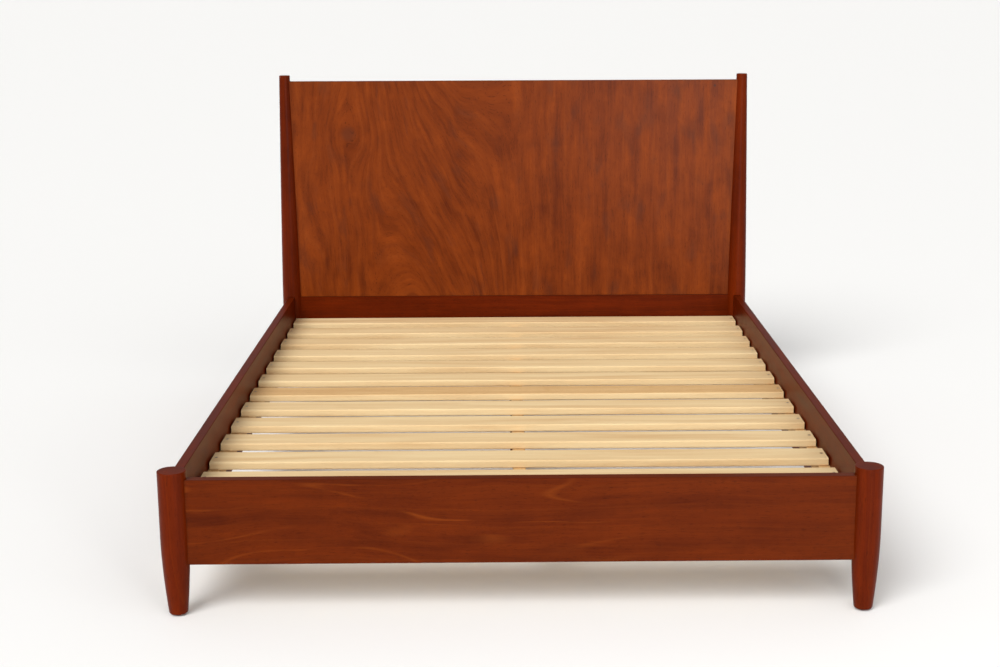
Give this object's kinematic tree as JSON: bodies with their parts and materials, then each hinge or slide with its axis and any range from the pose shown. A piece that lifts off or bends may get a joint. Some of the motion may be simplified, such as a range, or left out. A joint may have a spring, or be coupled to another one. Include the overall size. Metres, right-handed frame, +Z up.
{
  "type": "panel bed frame",
  "caption": "Low wooden bed frame with round tapered posts, plain veneered headboard and footboard, side rails, slats and a centre beam on adjustable legs.",
  "frame": {"origin": "on the floor under the middle of the bed", "axes": "+X to the right seen from the foot, +Y from the foot to the headboard, +Z up"},
  "size_m": [1.6304, 2.1444, 1.092],
  "materials": {
    "stained_mahogany": "satin lacquer over a red-brown stain",
    "mahogany_veneer": "figured veneer under satin lacquer",
    "pale_pine": "planed and unfinished",
    "zinc_plated_steel": "bright zinc plate",
    "black_nylon": "moulded, matte"
  },
  "bodies": {
    "frame": {"footboard_left_post": "stained_mahogany", "footboard_left_glide": "black_nylon", "footboard_left_hook_plate": "zinc_plated_steel", "footboard_left_slot_plate": "zinc_plated_steel", "footboard_right_post": "stained_mahogany", "footboard_right_glide": "black_nylon", "footboard_right_hook_plate": "zinc_plated_steel", "footboard_right_slot_plate": "zinc_plated_steel", "footboard_beam_saddle": "zinc_plated_steel", "headboard_left_post": "stained_mahogany", "headboard_left_glide": "black_nylon", "headboard_left_hook_plate": "zinc_plated_steel", "headboard_left_slot_plate": "zinc_plated_steel", "headboard_right_post": "stained_mahogany", "headboard_right_glide": "black_nylon", "headboard_right_hook_plate": "zinc_plated_steel", "headboard_right_slot_plate": "zinc_plated_steel", "headboard_beam_saddle": "zinc_plated_steel", "footboard_panel": "mahogany_veneer", "footboard_top_lipping": "stained_mahogany", "headboard_panel": "mahogany_veneer", "headboard_top_lipping": "stained_mahogany", "headboard_lower_rail": "stained_mahogany", "left_side_rail": "stained_mahogany", "left_slat_ledger": "pale_pine", "right_side_rail": "stained_mahogany", "right_slat_ledger": "pale_pine", "slat_01": "pale_pine", "slat_02": "pale_pine", "slat_03": "pale_pine", "slat_04": "pale_pine", "slat_05": "pale_pine", "slat_06": "pale_pine", "slat_07": "pale_pine", "slat_08": "pale_pine", "slat_09": "pale_pine", "slat_10": "pale_pine", "slat_11": "pale_pine", "slat_12": "pale_pine", "slat_13": "pale_pine", "centre_beam": "pale_pine", "centre_leg_1": "stained_mahogany", "leg_lag_bolt_1": "zinc_plated_steel", "leg_insert_nut_1": "zinc_plated_steel", "centre_leg_2": "stained_mahogany", "leg_lag_bolt_2": "zinc_plated_steel", "leg_insert_nut_2": "zinc_plated_steel", "centre_leg_3": "stained_mahogany", "leg_lag_bolt_3": "zinc_plated_steel", "leg_insert_nut_3": "zinc_plated_steel"},
    "leveller_pad_1": {"leveller_pad_1": "black_nylon"},
    "leveller_stem_1": {"leveller_stem_1": "zinc_plated_steel"},
    "leveller_pad_2": {"leveller_pad_2": "black_nylon"},
    "leveller_stem_2": {"leveller_stem_2": "zinc_plated_steel"},
    "leveller_pad_3": {"leveller_pad_3": "black_nylon"},
    "leveller_stem_3": {"leveller_stem_3": "zinc_plated_steel"}
  },
  "joints": [
    {"name": "leveller_1_turn", "type": "hinge", "parent": "leveller_pad_1", "child": "leveller_stem_1", "pos_m": [0, -0.6, 0], "axis": [0, 0, 1], "range_deg": [-2304, 2304]},
    {"name": "leveller_1_height", "type": "slide", "parent": "frame", "child": "leveller_pad_1", "axis": [0, 0, 1], "range_m": [-0.008, 0.008]},
    {"name": "leveller_2_turn", "type": "hinge", "parent": "leveller_pad_2", "child": "leveller_stem_2", "pos_m": [0, 0, 0], "axis": [0, 0, 1], "range_deg": [-2304, 2304]},
    {"name": "leveller_2_height", "type": "slide", "parent": "frame", "child": "leveller_pad_2", "axis": [0, 0, 1], "range_m": [-0.008, 0.008]},
    {"name": "leveller_3_turn", "type": "hinge", "parent": "leveller_pad_3", "child": "leveller_stem_3", "pos_m": [0, 0.6, 0], "axis": [0, 0, 1], "range_deg": [-2304, 2304]},
    {"name": "leveller_3_height", "type": "slide", "parent": "frame", "child": "leveller_pad_3", "axis": [0, 0, 1], "range_m": [-0.008, 0.008]}
  ],
  "couplings": [
    {"joint": "leveller_1_turn", "follows": "leveller_1_height", "rad_per_m": 5026.5},
    {"joint": "leveller_2_turn", "follows": "leveller_2_height", "rad_per_m": 5026.5},
    {"joint": "leveller_3_turn", "follows": "leveller_3_height", "rad_per_m": 5026.5}
  ]
}
